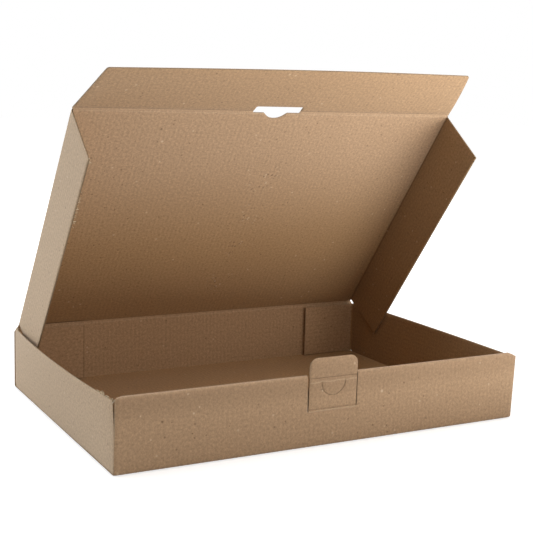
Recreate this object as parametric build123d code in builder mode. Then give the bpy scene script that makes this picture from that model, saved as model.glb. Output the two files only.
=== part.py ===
from build123d import *
from math import cos, radians, sin
import os

# A folded mailer box of brown corrugated board, with its lid held half open.
# The origin is on the table under the middle of the tray. X runs along the
# front, Y from the front wall to the back wall, Z up. All sizes are in millimetres.

# Board
board = 1.5
half_board = board / 2
fold_radius = 1.0
hinge_gap = 0.15
panel_start = half_board + hinge_gap
past = 5.0

# Tray
tray_width = 305.0
tray_depth = 215.5
side_height = 45.7
front_height = 48.5
inner_panel_slack = 0.6
left_bulge = 4.4
right_bulge = 2.0
straight_bulge = 0.02
corner_flap_length = 50.5
corner_flap_slack = 0.3
corner_flap_top = 45.0
corner_flap_foot = 0.8
crushed_flap_length = 46.0
fold_end_run = 4.5
fold_end_drop = 2.6
fold_end_margin = 0.4
hinge_corner_run = 3.0
hinge_corner_drop = 4.0
relief_depth = 8.0
relief_width = 0.6
inner_panel_side_gap = 3.0

# Lid
hinge_height = 46.8
lid_open_angle = 53.1
lid_width = 299.2
lid_length = 210.65
side_flap_width = 47.0
side_flap_rear_width = 45.6
side_flap_splay = 1.3
front_end_inset = 1.9
front_tip_inset = 3.4
rear_end_inset = 3.2
rear_tip_inset = 8.0

# Tuck flap
tuck_length = 45.0
tuck_fold_angle = 19.3
tuck_root_inset = 0.6
tuck_end_inset = 10.3
tuck_corner_radius = 2.0

# Tongue and the slot that takes it
lock_centre = -0.6
tongue_width = 36.4
tongue_side_gap = 0.6
tongue_root_height = 24.2
tongue_crease_height = 45.5
tongue_top_height = 59.5
tongue_corner_radius = 5.5
slot_width = 38.0
slot_into_tuck = 6.3
slot_into_lid = 1.3
slot_corner_radius = 0.7
notch_half_width = 9.3
notch_depth = 6.0
notch_offset = -0.6
moon_half_width = 9.1
moon_top_height = 44.2
moon_bottom_height = 33.9
cut_width = 0.4

# Places that follow from the sizes above
half_width = tray_width / 2
half_depth = tray_depth / 2
front_mid = -half_depth + half_board
back_mid = half_depth - half_board
inner_mid = front_mid + board + inner_panel_slack
wall_end = half_depth - board
lock_width = tongue_width + 2 * tongue_side_gap
inner_cut_height = 2 * front_height - tongue_top_height
half_lid = lid_width / 2
half_slot = slot_width / 2

# The lid's own plane: X across it, Y from the hinge to its front fold, Z into the box
lid_angle = radians(lid_open_angle)
lid_along = Vector(0, -cos(lid_angle), sin(lid_angle))
lid_inward = Vector(0, -sin(lid_angle), -cos(lid_angle))
hinge_point = Vector(0, back_mid, hinge_height)
lid_face = Plane(origin=hinge_point, x_dir=(1, 0, 0), z_dir=lid_inward)
lid_section = Plane(origin=hinge_point, x_dir=(1, 0, 0), z_dir=lid_along)
lid_profile = Plane(origin=hinge_point, x_dir=lid_along, z_dir=lid_along.cross(lid_inward))

# The tuck flap's plane: Y from the lid's front fold to the free edge
tuck_angle = radians(lid_open_angle - tuck_fold_angle)
front_fold_point = hinge_point + lid_along * lid_length
tuck_face = Plane(
    origin=front_fold_point,
    x_dir=(1, 0, 0),
    z_dir=(0, -sin(tuck_angle), -cos(tuck_angle)),
)

# The front of the tray, seen from the front: X to the right, Y up
front_view = Plane(origin=(0, front_mid, 0), x_dir=(1, 0, 0), z_dir=(0, -1, 0))


def wall_outline(side, height, bulge):
    """Top view of a side wall at one height, bowed outwards by its bulge."""
    outer = side * half_width
    inner = side * (half_width - board)
    with BuildSketch(Plane.XY.offset(height)) as outline:
        with BuildLine():
            ThreePointArc((outer, -wall_end), (outer + side * bulge, 0), (outer, wall_end))
            Line((outer, wall_end), (inner, wall_end))
            ThreePointArc((inner, wall_end), (inner + side * bulge, 0), (inner, -wall_end))
            Line((inner, -wall_end), (outer, -wall_end))
        make_face()
    return outline.sketch


# Tray: back wall, base and rolled-over front wall are one strip of board
with BuildPart() as tray:
    with BuildSketch(Plane.YZ.offset(-half_width)):
        with BuildLine():
            FilletPolyline(
                (back_mid, hinge_height),
                (back_mid, half_board),
                (front_mid, half_board),
                (front_mid, front_height - half_board),
                (inner_mid, front_height - half_board),
                (inner_mid, half_board + board),
                radius=fold_radius,
            )
        trace(line_width=board)
    extrude(amount=tray_width)

    # The inner front panel ends short of the side walls, so the lid's side flaps pass it
    with BuildSketch(Plane.XY.offset(board)):
        with Locations((-half_width, -wall_end), (half_width, -wall_end)):
            Rectangle(
                2 * (board + inner_panel_side_gap),
                board + inner_panel_slack + past,
                align=(Align.CENTER, Align.MIN),
            )
    extrude(amount=front_height, mode=Mode.SUBTRACT)

    # Side walls, bowed outwards at their top edges
    for side, bulge in ((-1, left_bulge), (1, right_bulge)):
        foot = wall_outline(side, 0, straight_bulge)
        crown = wall_outline(side, side_height, bulge)
        loft([foot, crown], ruled=True)

    # Rear corner flaps lie inside the back wall
    flap_middle = half_width - corner_flap_length / 2
    with BuildSketch(Plane.XY.offset(board + corner_flap_foot)):
        with Locations(
            (-flap_middle, wall_end - corner_flap_slack - half_board),
            (flap_middle, wall_end - corner_flap_slack - half_board),
        ):
            Rectangle(corner_flap_length, board)
    extrude(amount=corner_flap_top - board - corner_flap_foot)

    # Front corner flaps are pressed flat inside the double front wall
    pressed_middle = half_width - crushed_flap_length / 2
    with BuildSketch(Plane.XY.offset(board)):
        with Locations(
            (-pressed_middle, -wall_end + inner_panel_slack / 2),
            (pressed_middle, -wall_end + inner_panel_slack / 2),
        ):
            Rectangle(crushed_flap_length, inner_panel_slack)
    extrude(amount=corner_flap_top - board)

    # The round fold that the lid turns on
    with BuildSketch(Plane.YZ.offset(-half_width)):
        with Locations((back_mid, hinge_height)):
            Circle(half_board)
    extrude(amount=tray_width)

    # The rolled-over fold ends short of the corners, and so does the lid's fold
    with BuildSketch(front_view):
        for side in (-1, 1):
            with BuildLine():
                Polyline(
                    (side * (half_width - fold_end_run), front_height + past),
                    (side * (half_width - fold_end_run), front_height),
                    (side * (half_width - fold_end_margin), front_height - fold_end_drop),
                    (side * (half_width + past), front_height - fold_end_drop),
                    (side * (half_width + past), front_height + past),
                    close=True,
                )
            make_face()
    extrude(amount=past, both=True, mode=Mode.SUBTRACT)
    with BuildSketch(Plane.XZ.offset(-half_depth)):
        for side in (-1, 1):
            with BuildLine():
                Polyline(
                    (side * (half_width - hinge_corner_run), hinge_height + past),
                    (side * (half_width - hinge_corner_run), hinge_height),
                    (side * half_width, hinge_height - hinge_corner_drop),
                    (side * (half_width + past), hinge_height - hinge_corner_drop),
                    (side * (half_width + past), hinge_height + past),
                    close=True,
                )
            make_face()
    extrude(amount=2 * board + corner_flap_slack, mode=Mode.SUBTRACT)

    # Relief cuts between the side walls and the front panel
    with BuildSketch(Plane.XY.offset(side_height - relief_depth)):
        with Locations(
            (-half_width, -wall_end + relief_width / 2),
            (half_width, -wall_end + relief_width / 2),
        ):
            Rectangle(2 * board, relief_width)
    extrude(amount=relief_depth + past, mode=Mode.SUBTRACT)

    # Window in the front panel, and the hole that the tongue's tip leaves in the inner one
    with BuildSketch(front_view):
        with Locations((lock_centre, (tongue_root_height + front_height + past) / 2)):
            Rectangle(lock_width, front_height + past - tongue_root_height)
    extrude(amount=half_board + inner_panel_slack / 2, both=True, mode=Mode.SUBTRACT)
    with BuildSketch(front_view):
        with BuildLine():
            FilletPolyline(
                (lock_centre - lock_width / 2, front_height + past),
                (lock_centre - lock_width / 2, inner_cut_height),
                (lock_centre + lock_width / 2, inner_cut_height),
                (lock_centre + lock_width / 2, front_height + past),
                radius=tongue_corner_radius,
            )
            Line(
                (lock_centre - lock_width / 2, front_height + past),
                (lock_centre + lock_width / 2, front_height + past),
            )
        make_face()
    extrude(amount=-(board + inner_panel_slack + board), mode=Mode.SUBTRACT)

    # The round fold at the tongue's root
    with BuildSketch(Plane.YZ.offset(lock_centre - lock_width / 2)):
        with Locations((front_mid, tongue_root_height)):
            Circle(half_board)
    extrude(amount=lock_width)


# Lid: one panel with a side flap folded in at each end
with BuildPart() as lid:
    splay_run = side_flap_width * sin(radians(side_flap_splay))
    flap_foot = half_lid - half_board
    with BuildSketch(lid_section.offset(panel_start)):
        with BuildLine():
            FilletPolyline(
                (-flap_foot - splay_run, half_board - side_flap_width),
                (-flap_foot, 0),
                (flap_foot, 0),
                (flap_foot + splay_run, half_board - side_flap_width),
                radius=fold_radius,
            )
        trace(line_width=board)
    extrude(amount=lid_length - panel_start)

    # The side flaps are cut on the slant at both ends and narrow towards the hinge
    with BuildSketch(lid_profile):
        with BuildLine():
            Polyline(
                (-past, side_flap_rear_width - half_board),
                (lid_length, side_flap_width - half_board),
                (lid_length, side_flap_width + past),
                (-past, side_flap_width + past),
                close=True,
            )
        make_face()
        with BuildLine():
            Polyline(
                (-past, half_board),
                (rear_end_inset, half_board),
                (rear_tip_inset, side_flap_width),
                (-past, side_flap_width + past),
                close=True,
            )
        make_face()
        with BuildLine():
            Polyline(
                (lid_length + past, half_board),
                (lid_length - front_end_inset, half_board),
                (lid_length - front_tip_inset, side_flap_width),
                (lid_length + past, side_flap_width + past),
                close=True,
            )
        make_face()
    extrude(amount=half_width, both=True, mode=Mode.SUBTRACT)

    # The round fold that the tuck flap turns on
    with BuildSketch(lid_profile.offset(-half_lid + tuck_root_inset)):
        with Locations((lid_length, 0)):
            Circle(half_board)
    extrude(amount=2 * (half_lid - tuck_root_inset))

    # The slot's edge in the lid and its half-round finger notch
    with BuildSketch(lid_face):
        with BuildLine():
            FilletPolyline(
                (lock_centre - half_slot, lid_length + past),
                (lock_centre - half_slot, lid_length - slot_into_lid),
                (lock_centre + half_slot, lid_length - slot_into_lid),
                (lock_centre + half_slot, lid_length + past),
                radius=slot_corner_radius,
            )
            Line(
                (lock_centre - half_slot, lid_length + past),
                (lock_centre + half_slot, lid_length + past),
            )
        make_face()
        notch_middle = lock_centre + notch_offset
        with BuildLine():
            ThreePointArc(
                (notch_middle - notch_half_width, lid_length - slot_into_lid),
                (notch_middle, lid_length - notch_depth),
                (notch_middle + notch_half_width, lid_length - slot_into_lid),
            )
            Line(
                (notch_middle - notch_half_width, lid_length - slot_into_lid),
                (notch_middle + notch_half_width, lid_length - slot_into_lid),
            )
        make_face()
    extrude(amount=board, both=True, mode=Mode.SUBTRACT)


# Tuck flap: tapered towards its free edge, with the other half of the slot
with BuildPart() as tuck_flap:
    tuck_root = half_lid - tuck_root_inset
    tuck_end = half_lid - tuck_end_inset
    with BuildSketch(tuck_face):
        with BuildLine():
            Polyline(
                (-tuck_root, panel_start),
                (-tuck_end, tuck_length),
                (tuck_end, tuck_length),
                (tuck_root, panel_start),
                close=True,
            )
        make_face()
        free_corners = vertices().group_by(Axis.Y)[-1]
        fillet(free_corners, radius=tuck_corner_radius)
        with BuildLine():
            FilletPolyline(
                (lock_centre - half_slot, -past),
                (lock_centre - half_slot, slot_into_tuck),
                (lock_centre + half_slot, slot_into_tuck),
                (lock_centre + half_slot, -past),
                radius=slot_corner_radius,
            )
            Line((lock_centre - half_slot, -past), (lock_centre + half_slot, -past))
        make_face(mode=Mode.SUBTRACT)
    extrude(amount=half_board, both=True)


# Locking tongue: the part below its crease, with the half-moon finger cut
with BuildPart() as locking_tongue:
    with BuildSketch(front_view):
        root = tongue_root_height + panel_start
        with Locations((lock_centre, (root + tongue_crease_height) / 2)):
            Rectangle(tongue_width, tongue_crease_height - root)
        with BuildLine():
            moon_left = lock_centre - moon_half_width
            moon_right = lock_centre + moon_half_width
            moon_shoulder = moon_bottom_height + moon_half_width
            Line((moon_left, moon_top_height), (moon_left, moon_shoulder))
            ThreePointArc(
                (moon_left, moon_shoulder),
                (lock_centre, moon_bottom_height),
                (moon_right, moon_shoulder),
            )
            Line((moon_right, moon_shoulder), (moon_right, moon_top_height))
        trace(line_width=cut_width, mode=Mode.SUBTRACT)
    extrude(amount=half_board, both=True)
    with BuildSketch(Plane.YZ.offset(lock_centre - tongue_width / 2)):
        with Locations((front_mid, tongue_crease_height)):
            Circle(half_board)
    extrude(amount=tongue_width)


# Tip of the tongue: the part that stands above the front wall and bends into the slot
with BuildPart() as tongue_tip:
    with BuildSketch(front_view):
        with BuildLine():
            FilletPolyline(
                (lock_centre - tongue_width / 2, tongue_crease_height + panel_start),
                (lock_centre - tongue_width / 2, tongue_top_height),
                (lock_centre + tongue_width / 2, tongue_top_height),
                (lock_centre + tongue_width / 2, tongue_crease_height + panel_start),
                radius=tongue_corner_radius,
            )
            Line(
                (lock_centre - tongue_width / 2, tongue_crease_height + panel_start),
                (lock_centre + tongue_width / 2, tongue_crease_height + panel_start),
            )
        make_face()
    extrude(amount=half_board, both=True)


tray.part.label = "tray"
lid.part.label = "lid"
tuck_flap.part.label = "tuck_flap"
locking_tongue.part.label = "locking_tongue"
tongue_tip.part.label = "tongue_tip"

os.makedirs("parts", exist_ok=True)
export_step(tray.part, "parts/tray.step")
export_step(lid.part, "parts/lid.step")
export_step(tuck_flap.part, "parts/tuck_flap.step")
export_step(locking_tongue.part, "parts/locking_tongue.step")
export_step(tongue_tip.part, "parts/tongue_tip.step")
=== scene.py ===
import functools
import math

import bmesh
import bpy
from mathutils import Matrix, Vector


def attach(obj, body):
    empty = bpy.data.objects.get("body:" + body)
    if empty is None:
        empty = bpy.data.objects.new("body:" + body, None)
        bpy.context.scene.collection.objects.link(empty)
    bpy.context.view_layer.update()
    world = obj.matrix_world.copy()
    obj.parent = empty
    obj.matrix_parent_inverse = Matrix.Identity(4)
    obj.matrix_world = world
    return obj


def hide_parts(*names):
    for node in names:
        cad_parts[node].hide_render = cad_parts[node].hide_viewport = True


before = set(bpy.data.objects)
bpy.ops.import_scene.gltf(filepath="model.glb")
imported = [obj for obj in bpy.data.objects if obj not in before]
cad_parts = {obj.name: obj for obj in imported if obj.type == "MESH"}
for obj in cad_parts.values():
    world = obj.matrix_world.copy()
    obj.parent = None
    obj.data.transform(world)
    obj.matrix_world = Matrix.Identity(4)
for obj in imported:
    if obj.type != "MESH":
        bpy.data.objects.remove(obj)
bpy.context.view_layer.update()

# A mailer box folded from one sheet of fine corrugated board. Sizes are in
# millimetres until a mesh is made. Places on the flat blank are given as
# "across" (left to right, across the flutes) and "along" (with the flutes).
MM = 0.001

# Board
BOARD = 1.5
HALF_BOARD = BOARD / 2
LINER = 0.2
FLUTE_PAPER = 0.15
FLUTE_PITCH = 3.33
FLUTE_HEIGHT = 0.46
WASHBOARD = 0.022
UNEVENNESS = 0.25
FLUTE_SKEW = 0.012
FOLD_RADIUS = 1.0
EDGE_SQUEEZE = 0.5
SQUEEZE_REACH = 0.8
LINER_STEP = FLUTE_PITCH / 4
FLUTE_STEP = FLUTE_PITCH / 8
BEND_STEPS = 5
CORNER_BREAK = 0.5
RIDGE_SIDES = 12

# Colours of painted shade on the paper by place, and of the flecks in it; the dark fleck colour also
# paints the shadows
PAINTED_SHADE_KRAFT = (0.82, 0.74, 0.56)
PAINTED_BASE_SHADE = (0.98, 0.87, 0.60)
BARK_FLECK_AND_SHADE = (0.10, 0.055, 0.025)
STRAW_FLECK = (0.74, 0.60, 0.44)

# Tray
TRAY_WIDTH = 305.0
TRAY_DEPTH = 215.5
SIDE_HEIGHT = 45.7
FRONT_HEIGHT = 48.5
INNER_PANEL_SLACK = 0.6
BULGES = {-1: 4.4, 1: 2.0}
CORNER_FLAP_LENGTH = 50.5
LEFT_CORNER_FLAP_EXTRA = 4.0
CORNER_FLAP_SLACK = 0.3
CORNER_FLAP_TOP = 44.3
CORNER_FLAP_FOOT = 2.3
CORNER_FLAP_DRAWN_IN = 0.8
PRESSED_FLAP_START = 5.5
PRESSED_FLAP_LENGTH = 46.0
FOLD_END_RUN = 4.5
FOLD_END_DROP = 2.6
LEFT_FOLD_END_RUN = 1.8
LEFT_FOLD_END_DROP = 1.5
FOLD_END_MARGIN = 0.4
FOLD_END_START = 0.3
FRONT_FLARE = 1.5
FLARE_REACH = 30.0
LEFT_LEAN = 0.8
CORNER_GAPS = {-1: 2.6, 1: 0.9}
CORNER_GAP_FOOT = 26.0
CORNER_AIR = 0.05
CORNER_FLAP_BOWS = {-1: 0.5, 1: 1.7}
HINGE_CORNER_RUN = 3.0
HINGE_CORNER_DROP = 4.0

# Lid
HINGE_HEIGHT = 46.8
LID_ANGLE = math.radians(53.1)
LID_WIDTH = 299.2
LID_LENGTH = 210.65
FLAP_WIDTH = 47.0
FLAP_REAR_WIDTH = 45.6
FLAP_SPLAY = math.radians(1.3)
FRONT_END_INSET = 1.9
FRONT_TIP_INSET = 3.4
REAR_END_INSET = 3.2
REAR_TIP_INSET = 8.0
PANEL_START = 0.8
SIDE_FOLD_INSET = 1.1
SIDE_FOLD_DEPTH = 0.28
FRONT_EDGE_INSET = 0.1
FOLD_GAP = 0.9

# Tuck flap
TUCK_LENGTH = 45.0
TUCK_ANGLE = LID_ANGLE - math.radians(19.3)
TUCK_ROOT = LID_WIDTH / 2 - 0.6
TUCK_END = LID_WIDTH / 2 - 10.3
TUCK_WARP = 4.6
TUCK_WARP_CURVE = 1.7
TUCK_WARP_RISE = 0.6
TUCK_CORNER_REACH = 7.0
TUCK_CORNER_DROP = 0.9
TUCK_END_AIR = 0.15

# Lock
LOCK = -0.6
TONGUE_WIDTH = 36.4
TONGUE_GAP = 0.6
TONGUE_ROOT = 24.2
TONGUE_CREASE = 45.5
TONGUE_TOP = 59.5
TONGUE_CORNER = 5.5
CREASE_INSET = 0.2
SLOT_HALF = 19.0
SLOT_INTO_TUCK = 6.3
SLOT_INTO_LID = 1.3
SLOT_CORNER = 0.7
SLOT_TOP_CORNER = 1.9
NOTCH_MIDDLE = LOCK - 0.6
NOTCH_HALF = 9.3
NOTCH_DEPTH = 6.0
MOON_RADIUS = 9.1
MOON_BOTTOM = 33.9
MOON_TOP = 44.2
MOON_CUT = 0.3
MOON_INNER = MOON_RADIUS - MOON_CUT / 2
MOON_OUTER = MOON_RADIUS + MOON_CUT / 2
TONGUE_SHIFT = 0.4
SLIT_WEDGE = 0.8
SCORED_CREASE = 43.6

# Places that follow
HALF_WIDTH = TRAY_WIDTH / 2
WALL_FOOT = HALF_WIDTH - HALF_BOARD - FOLD_RADIUS
FRONT_MID = -TRAY_DEPTH / 2 + HALF_BOARD
BACK_MID = TRAY_DEPTH / 2 - HALF_BOARD
INNER_MID = FRONT_MID + BOARD + INNER_PANEL_SLACK
WALL_END = TRAY_DEPTH / 2 - BOARD
LOCK_HALF = TONGUE_WIDTH / 2 + TONGUE_GAP
INNER_CUT = 2 * FRONT_HEIGHT - TONGUE_TOP
HALF_LID = LID_WIDTH / 2
LID_ALONG = Vector((0, -math.cos(LID_ANGLE), math.sin(LID_ANGLE)))
LID_OUT = Vector((0, math.sin(LID_ANGLE), math.cos(LID_ANGLE)))
HINGE = Vector((0, BACK_MID, HINGE_HEIGHT))
FRONT_FOLD = HINGE + LID_ALONG * LID_LENGTH


# Objects and materials

def placed(name, data):
    """An object in the scene with this mesh, lamp or camera."""
    made = bpy.data.objects.new(name, data)
    bpy.context.scene.collection.objects.link(made)
    return made


def new_material(name):
    """An empty node material and its tree."""
    made = bpy.data.materials.new(name)
    made.use_nodes = True
    made.node_tree.nodes.clear()
    return made, made.node_tree


def feed(tree, socket, value):
    """Sets an input to a value, or links it to the socket that gives one."""
    if hasattr(value, "links"):
        tree.links.new(value, socket)
    else:
        socket.default_value = value


def node(tree, kind, **values):
    """A node with its settings. What starts with in_ goes to an input, as a value or a link."""
    made = tree.nodes.new(kind)
    for key, value in values.items():
        if key.startswith("in_"):
            feed(tree, made.inputs[key[3:].replace("_", " ")], value)
        else:
            setattr(made, key, value)
    return made


def math_node(tree, operation, a, b=None, clamp=False):
    """One step of arithmetic on sockets or numbers."""
    made = node(tree, "ShaderNodeMath", operation=operation, use_clamp=clamp)
    for place, value in enumerate((a, b)):
        if value is not None:
            feed(tree, made.inputs[place], value)
    return made.outputs[0]


def arithmetic(tree):
    """The steps used most: times, plus, minus, and the larger of two."""
    kinds = ("MULTIPLY", "ADD", "SUBTRACT", "MAXIMUM")
    return [functools.partial(math_node, tree, kind) for kind in kinds]


def mix_colour(tree, blend, amount, a, b):
    """Mixes two colours, each a socket or a plain colour."""
    made = node(tree, "ShaderNodeMix", data_type="RGBA", blend_type=blend)
    feed(tree, made.inputs[0], amount)
    for place, value in ((6, a), (7, b)):
        feed(tree, made.inputs[place], (*value, 1) if isinstance(value, tuple) else value)
    return made.outputs[2]


def band(tree, value, middle, half, soft):
    """One where a value is this near a middle, and none beyond, with soft ends."""
    away = math_node(tree, "ABSOLUTE", math_node(tree, "SUBTRACT", value, middle))
    return node(
        tree, "ShaderNodeMapRange", interpolation_type="SMOOTHSTEP", in_Value=away,
        in_From_Min=half, in_From_Max=half + soft, in_To_Min=1.0, in_To_Max=0.0,
    ).outputs[0]


def patches(tree, where, places, soft=0.5):
    """One inside any of these round patches: across, along and radius in millimetres."""
    whole = 0.0
    for across, along, radius in places:
        away = node(tree, "ShaderNodeVectorMath", operation="DISTANCE", in_Vector=where)
        away.inputs[1].default_value = (across * MM, along * MM, 0)
        core, soft_rim = radius * (1 - soft) * MM, radius * soft * 2 * MM
        inside = band(tree, away.outputs["Value"], 0.0, core, soft_rim)
        whole = math_node(tree, "MAXIMUM", inside, whole)
    return whole


def kraft_paper(name, tone, shade, seed=0.0, grain=0.5, painted_crest_shade=0.0, marks=None, painted_shade=()):
    """Brown kraft paper on corrugated board: pulp, clouds, flecks, marks, faint flute lines painted
    lighter on their crests, and painted shadows.

    The last argument paints shade: it darkens the paper by place, where the box's inside lies in shade,
    over stretches of the blank, each with its strength.
    """
    marks = marks or {}
    made, tree = new_material(name)
    times, plus, minus, more = arithmetic(tree)

    def near(value, middle, half, soft):
        """A band given in millimetres."""
        return band(tree, value, middle * MM, half * MM, soft * MM)

    def noise(vector, scale, detail, rough):
        return node(
            tree, "ShaderNodeTexNoise",
            in_Vector=vector, in_Scale=scale, in_Detail=detail, in_Roughness=rough,
        ).outputs[0]

    def flecks(scale, size, share):
        """Specks in a few of many cells."""
        cells = node(tree, "ShaderNodeTexVoronoi", voronoi_dimensions="2D", in_Vector=spot, in_Scale=scale)
        chance = node(tree, "ShaderNodeSeparateColor", in_Color=cells.outputs["Color"])
        small = math_node(tree, "LESS_THAN", cells.outputs["Distance"], size)
        return times(small, math_node(tree, "LESS_THAN", chance.outputs[0], share))

    board = node(tree, "ShaderNodeUVMap", uv_map="board").outputs[0]
    spot = node(tree, "ShaderNodeMapping", in_Vector=board, in_Location=(seed, seed * 0.7, 0)).outputs[0]
    drawn = node(
        tree, "ShaderNodeMapping", in_Vector=spot, in_Scale=(1.0, 0.7, 1.0), in_Rotation=(0, 0, 0.5)
    ).outputs[0]
    split = node(tree, "ShaderNodeSeparateXYZ", in_Vector=board)
    across, along = split.outputs[0], split.outputs[1]
    side = math_node(tree, "ABSOLUTE", across)

    clouds = noise(spot, 14.0, 3.0, 0.55)
    pulp = noise(spot, 520.0, 3.0, 0.75)
    fibres = noise(drawn, 1000.0, 1.0, 0.6)
    skewed = plus(across, times(along, FLUTE_SKEW))
    crest = math_node(tree, "SINE", times(skewed, 2 * math.pi / (FLUTE_PITCH * MM)))
    mottle = times(minus(pulp, 0.5), grain * 2)
    fine = times(minus(fibres, 0.5), grain)
    # The flute lines in the colour are painted light and shade: lighter on the crests, darker between
    # them.
    lightness = plus(plus(plus(mottle, fine), times(crest, times(clouds, painted_crest_shade))), 1.0)
    paper = mix_colour(tree, "MIX", clouds, shade, tone)
    paper = mix_colour(tree, "MULTIPLY", 1.0, paper, lightness)

    # Painted shade: the paper grows darker and browner where the box's inside lies in shade.
    if painted_shade:
        depth = 0.0
        for across_from, (begin, full, end), strength in painted_shade:
            stretch = node(
                tree, "ShaderNodeMapRange", interpolation_type="SMOOTHSTEP",
                in_Value=along, in_From_Min=begin * MM, in_From_Max=full * MM,
            )
            past = math_node(tree, "LESS_THAN" if end > full else "GREATER_THAN", along, end * MM)
            beside = math_node(tree, "GREATER_THAN", side, across_from * MM)
            there = times(times(stretch.outputs[0], past), beside)
            depth = more(times(there, strength), depth)
        paper = mix_colour(tree, "MULTIPLY", depth, paper, PAINTED_SHADE_KRAFT)
    # Painted shade: tints that make the paper darker and browner in a stretch, as in the shaded base of
    # the tray.
    for across_half, along_middle, half, shade_tint in marks.get("shade tints", ()):
        there = times(near(side, 0.0, across_half, 0.5), near(along, along_middle, half, 1.0))
        paper = mix_colour(tree, "MULTIPLY", there, paper, shade_tint)

    dark = times(flecks(250.0, 0.17, 0.022), 0.45)
    pale = times(flecks(200.0, 0.15, 0.014), 0.35)
    relief = plus(times(crest, 0.2), plus(fibres, pulp))
    if "dark" in marks:
        dark = more(dark, times(patches(tree, board, marks["dark"]), 0.6))
    if "pale" in marks:
        pale = more(pale, times(patches(tree, board, marks["pale"]), 0.55))
    if "pits" in marks:
        worn = patches(tree, board, marks["pits"], soft=0.9)
        worn = times(worn, math_node(tree, "GREATER_THAN", noise(spot, 90.0, 1.0, 0.5), 0.5))
        holes = times(flecks(330.0, 0.30, 0.5), worn)
        dark = more(dark, times(holes, 0.55))
        pale = more(pale, times(times(flecks(300.0, 0.24, 0.35), worn), 0.4))
        relief = minus(relief, times(holes, 3.0))
    # Painted shadow: dark lines along the lid's side folds.
    for across_middle, along_middle, half, strength, soft in marks.get("side fold shadows", ()):
        line = times(near(side, across_middle, 0.3, soft), near(along, along_middle, half, 1.0))
        dark = more(dark, times(line, strength))
    for across_middle, half, along_middle, strength, soft in marks.get("shadows", ()):
        line = times(near(along, along_middle, 0.15, soft), near(across, across_middle, half, 6.0))
        dark = more(dark, times(line, strength))
    for across_middle, half, along_middle, strength in marks.get("creases", ()):
        wander = times(minus(noise(spot, 160.0, 1.0, 0.5), 0.5), 0.0016)
        line = near(plus(along, wander), along_middle, 0.1, 0.6)
        line = times(line, near(across, across_middle, half, 1.5))
        pale = more(pale, times(line, strength))
        relief = plus(relief, times(line, 2.0 * strength))
    # Flecks, spots and pits take the dark fleck colour, and so do the painted shadows and fold lines.
    paper = mix_colour(tree, "MIX", dark, paper, BARK_FLECK_AND_SHADE)
    paper = mix_colour(tree, "MIX", pale, paper, STRAW_FLECK)

    bump = node(tree, "ShaderNodeBump", in_Strength=0.5, in_Distance=0.00012, in_Height=relief)
    skin = node(
        tree, "ShaderNodeBsdfPrincipled", in_Base_Color=paper, in_Normal=bump.outputs[0],
        in_Roughness=0.88, in_Specular_IOR_Level=0.25, in_Sheen_Weight=0.25,
    )
    node(tree, "ShaderNodeOutputMaterial", in_Surface=skin.outputs[0])
    return made


# Sheets of board

def fold_path(corners, radius):
    """A line with rounded corners. Gives a function of the length along it and the bends' ends."""
    runs = []
    marks = []
    start = Vector(corners[0])
    length = 0.0
    for number in range(1, len(corners)):
        corner = Vector(corners[number])
        along = (corner - start).normalized()
        runs.append((length, start, along, 0.0))
        if number == len(corners) - 1:
            length += (corner - start).length
            break
        after = (Vector(corners[number + 1]) - corner).normalized()
        turn = math.atan2(along.x * after.y - along.y * after.x, along.dot(after))
        setback = radius * math.tan(abs(turn) / 2)
        bend_start = corner - along * setback
        length += (bend_start - start).length
        runs.append((length, bend_start, along, math.copysign(1 / radius, turn)))
        marks.append((length, length + radius * abs(turn)))
        length += radius * abs(turn)
        start = corner + after * setback

    def at(distance):
        """Point and direction at this length."""
        begin, origin, along, curve = next(
            (run for run in reversed(runs) if run[0] <= distance + 1e-9), runs[0]
        )
        gone = distance - begin
        if curve == 0:
            return origin + along * gone, along
        swing = gone * curve
        side = Vector((-along.y, along.x))
        point = origin + along * (math.sin(swing) / curve) + side * ((1 - math.cos(swing)) / curve)
        return point, along * math.cos(swing) + side * math.sin(swing)

    return at, marks, length


def both_sides(middle, *reaches):
    """The places this far to the left and to the right of a middle."""
    return [middle + side * reach for reach in reaches for side in (-1, 1)]


def bend_rows(marks):
    """Rows that make each bend round."""
    return [low + (high - low) * k / BEND_STEPS for low, high in marks for k in range(BEND_STEPS + 1)]


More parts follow.
